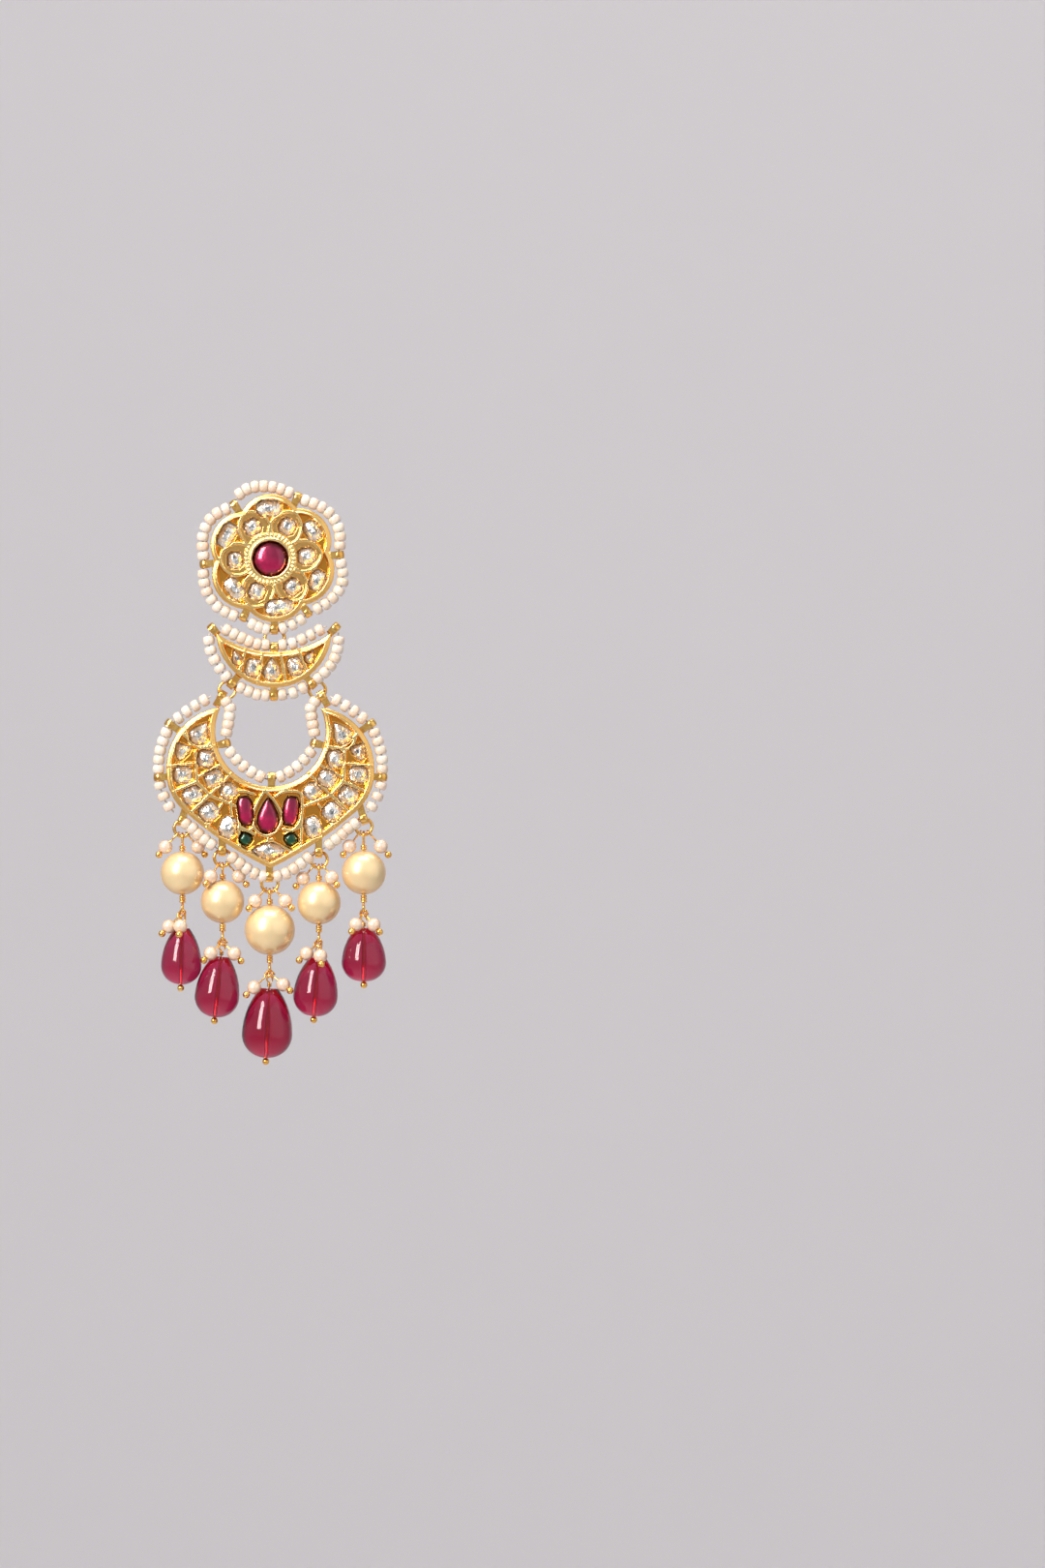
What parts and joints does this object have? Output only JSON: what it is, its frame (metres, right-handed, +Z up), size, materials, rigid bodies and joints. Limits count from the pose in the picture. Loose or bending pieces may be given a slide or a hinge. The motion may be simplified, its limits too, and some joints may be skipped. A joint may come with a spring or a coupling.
{
  "type": "chandbali earring",
  "caption": "Hanging earring: a stone-set flower stud, a small crescent and a moon-shaped pendant edged with seed beads, with pearl and teardrop strands below.",
  "frame": {"origin": "centre of the flower's back face, where the ear post leaves it", "axes": "+Z up along the hanging earring, +Y backwards out of the ear side along the post, -Y towards the viewer of the stones, +X to the viewer's right"},
  "size_m": [0.0411, 0.0161, 0.1004],
  "materials": {
    "gold": "polished",
    "polki": "polished",
    "ruby": "polished",
    "emerald": "polished",
    "seed_beads": "satin",
    "pearl": "satin",
    "drop_glass": "polished"
  },
  "bodies": {
    "flower": {"flower_plate": "gold", "flower_ruby": "ruby", "flower_outer_stones": "polki", "flower_inner_stones": "polki", "flower_beads": "seed_beads", "ear_post": "gold"},
    "link": {"link_ring": "gold"},
    "crescent": {"crescent_plate": "gold", "crescent_stones": "polki", "crescent_beads": "seed_beads", "left_ring": "gold", "right_ring": "gold"},
    "pendant": {"pendant_plate": "gold", "pendant_outer_stones": "polki", "pendant_inner_stones": "polki", "ruby_left": "ruby", "ruby_right": "ruby", "ruby_centre": "ruby", "emerald_left": "emerald", "emerald_right": "emerald", "foot_stone": "polki", "pendant_outer_beads": "seed_beads", "pendant_inner_beads": "seed_beads", "strand_ring_1": "gold", "pearl_1": "pearl", "pearl_wire_1": "gold", "drop_1": "drop_glass", "drop_pin_1": "gold", "small_pearls_1": "pearl", "small_pins_1": "gold", "strand_ring_2": "gold", "pearl_2": "pearl", "pearl_wire_2": "gold", "drop_2": "drop_glass", "drop_pin_2": "gold", "small_pearls_2": "pearl", "small_pins_2": "gold", "strand_ring_3": "gold", "pearl_3": "pearl", "pearl_wire_3": "gold", "drop_3": "drop_glass", "drop_pin_3": "gold", "small_pearls_3": "pearl", "small_pins_3": "gold", "strand_ring_4": "gold", "pearl_4": "pearl", "pearl_wire_4": "gold", "drop_4": "drop_glass", "drop_pin_4": "gold", "small_pearls_4": "pearl", "small_pins_4": "gold", "strand_ring_5": "gold", "pearl_5": "pearl", "pearl_wire_5": "gold", "drop_5": "drop_glass", "drop_pin_5": "gold", "small_pearls_5": "pearl", "small_pins_5": "gold"}
  },
  "joints": [
    {"name": "link_sway", "type": "hinge", "parent": "flower", "child": "link", "pos_m": [0.00067, -0.00075, -0.01366], "axis": [0, 1, 0], "range_deg": [-4, 3]},
    {"name": "crescent_swing", "type": "hinge", "parent": "link", "child": "crescent", "pos_m": [0.00067, -0.00075, -0.01535], "axis": [1, 0, 0], "range_deg": [-8, 25]},
    {"name": "pendant_swing", "type": "hinge", "parent": "crescent", "child": "pendant", "pos_m": [0.00025, -0.00075, -0.02359], "axis": [1, 0, 0], "range_deg": [-20, 12]}
  ]
}
